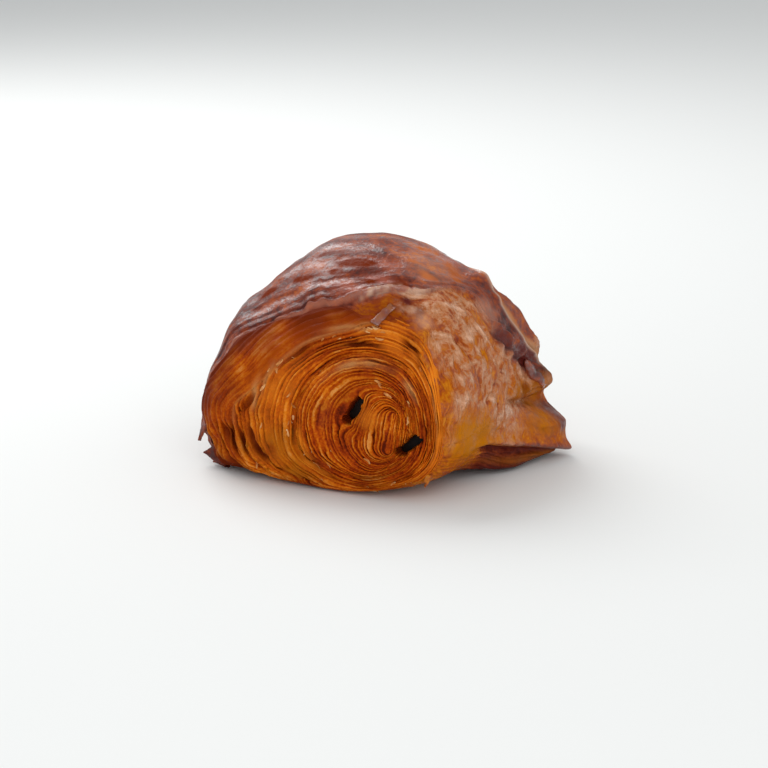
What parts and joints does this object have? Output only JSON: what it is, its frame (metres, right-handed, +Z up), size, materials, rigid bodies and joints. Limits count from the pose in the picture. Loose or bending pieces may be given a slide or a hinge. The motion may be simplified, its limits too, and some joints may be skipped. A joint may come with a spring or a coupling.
{
  "type": "pain au chocolat",
  "caption": "Baked laminated pastry roll with a dark glazed crust, layered spiral ends, a flared tail and sticks of chocolate running through it.",
  "frame": {"origin": "middle of the bounding box, on the surface that the pastry rests on", "axes": "+Z up, Y along the roll and its chocolate sticks with the front end at -Y, +X across the roll towards the tail"},
  "size_m": [0.0966, 0.082, 0.0666],
  "materials": {
    "crust": "glazed browned crust",
    "leaves": "golden flaky layers",
    "chocolate": "satin dark chocolate"
  },
  "bodies": {
    "root": {"dough": "crust", "chocolate_stick_upper": "chocolate", "chocolate_stick_lower": "chocolate"}
  },
  "joints": []
}
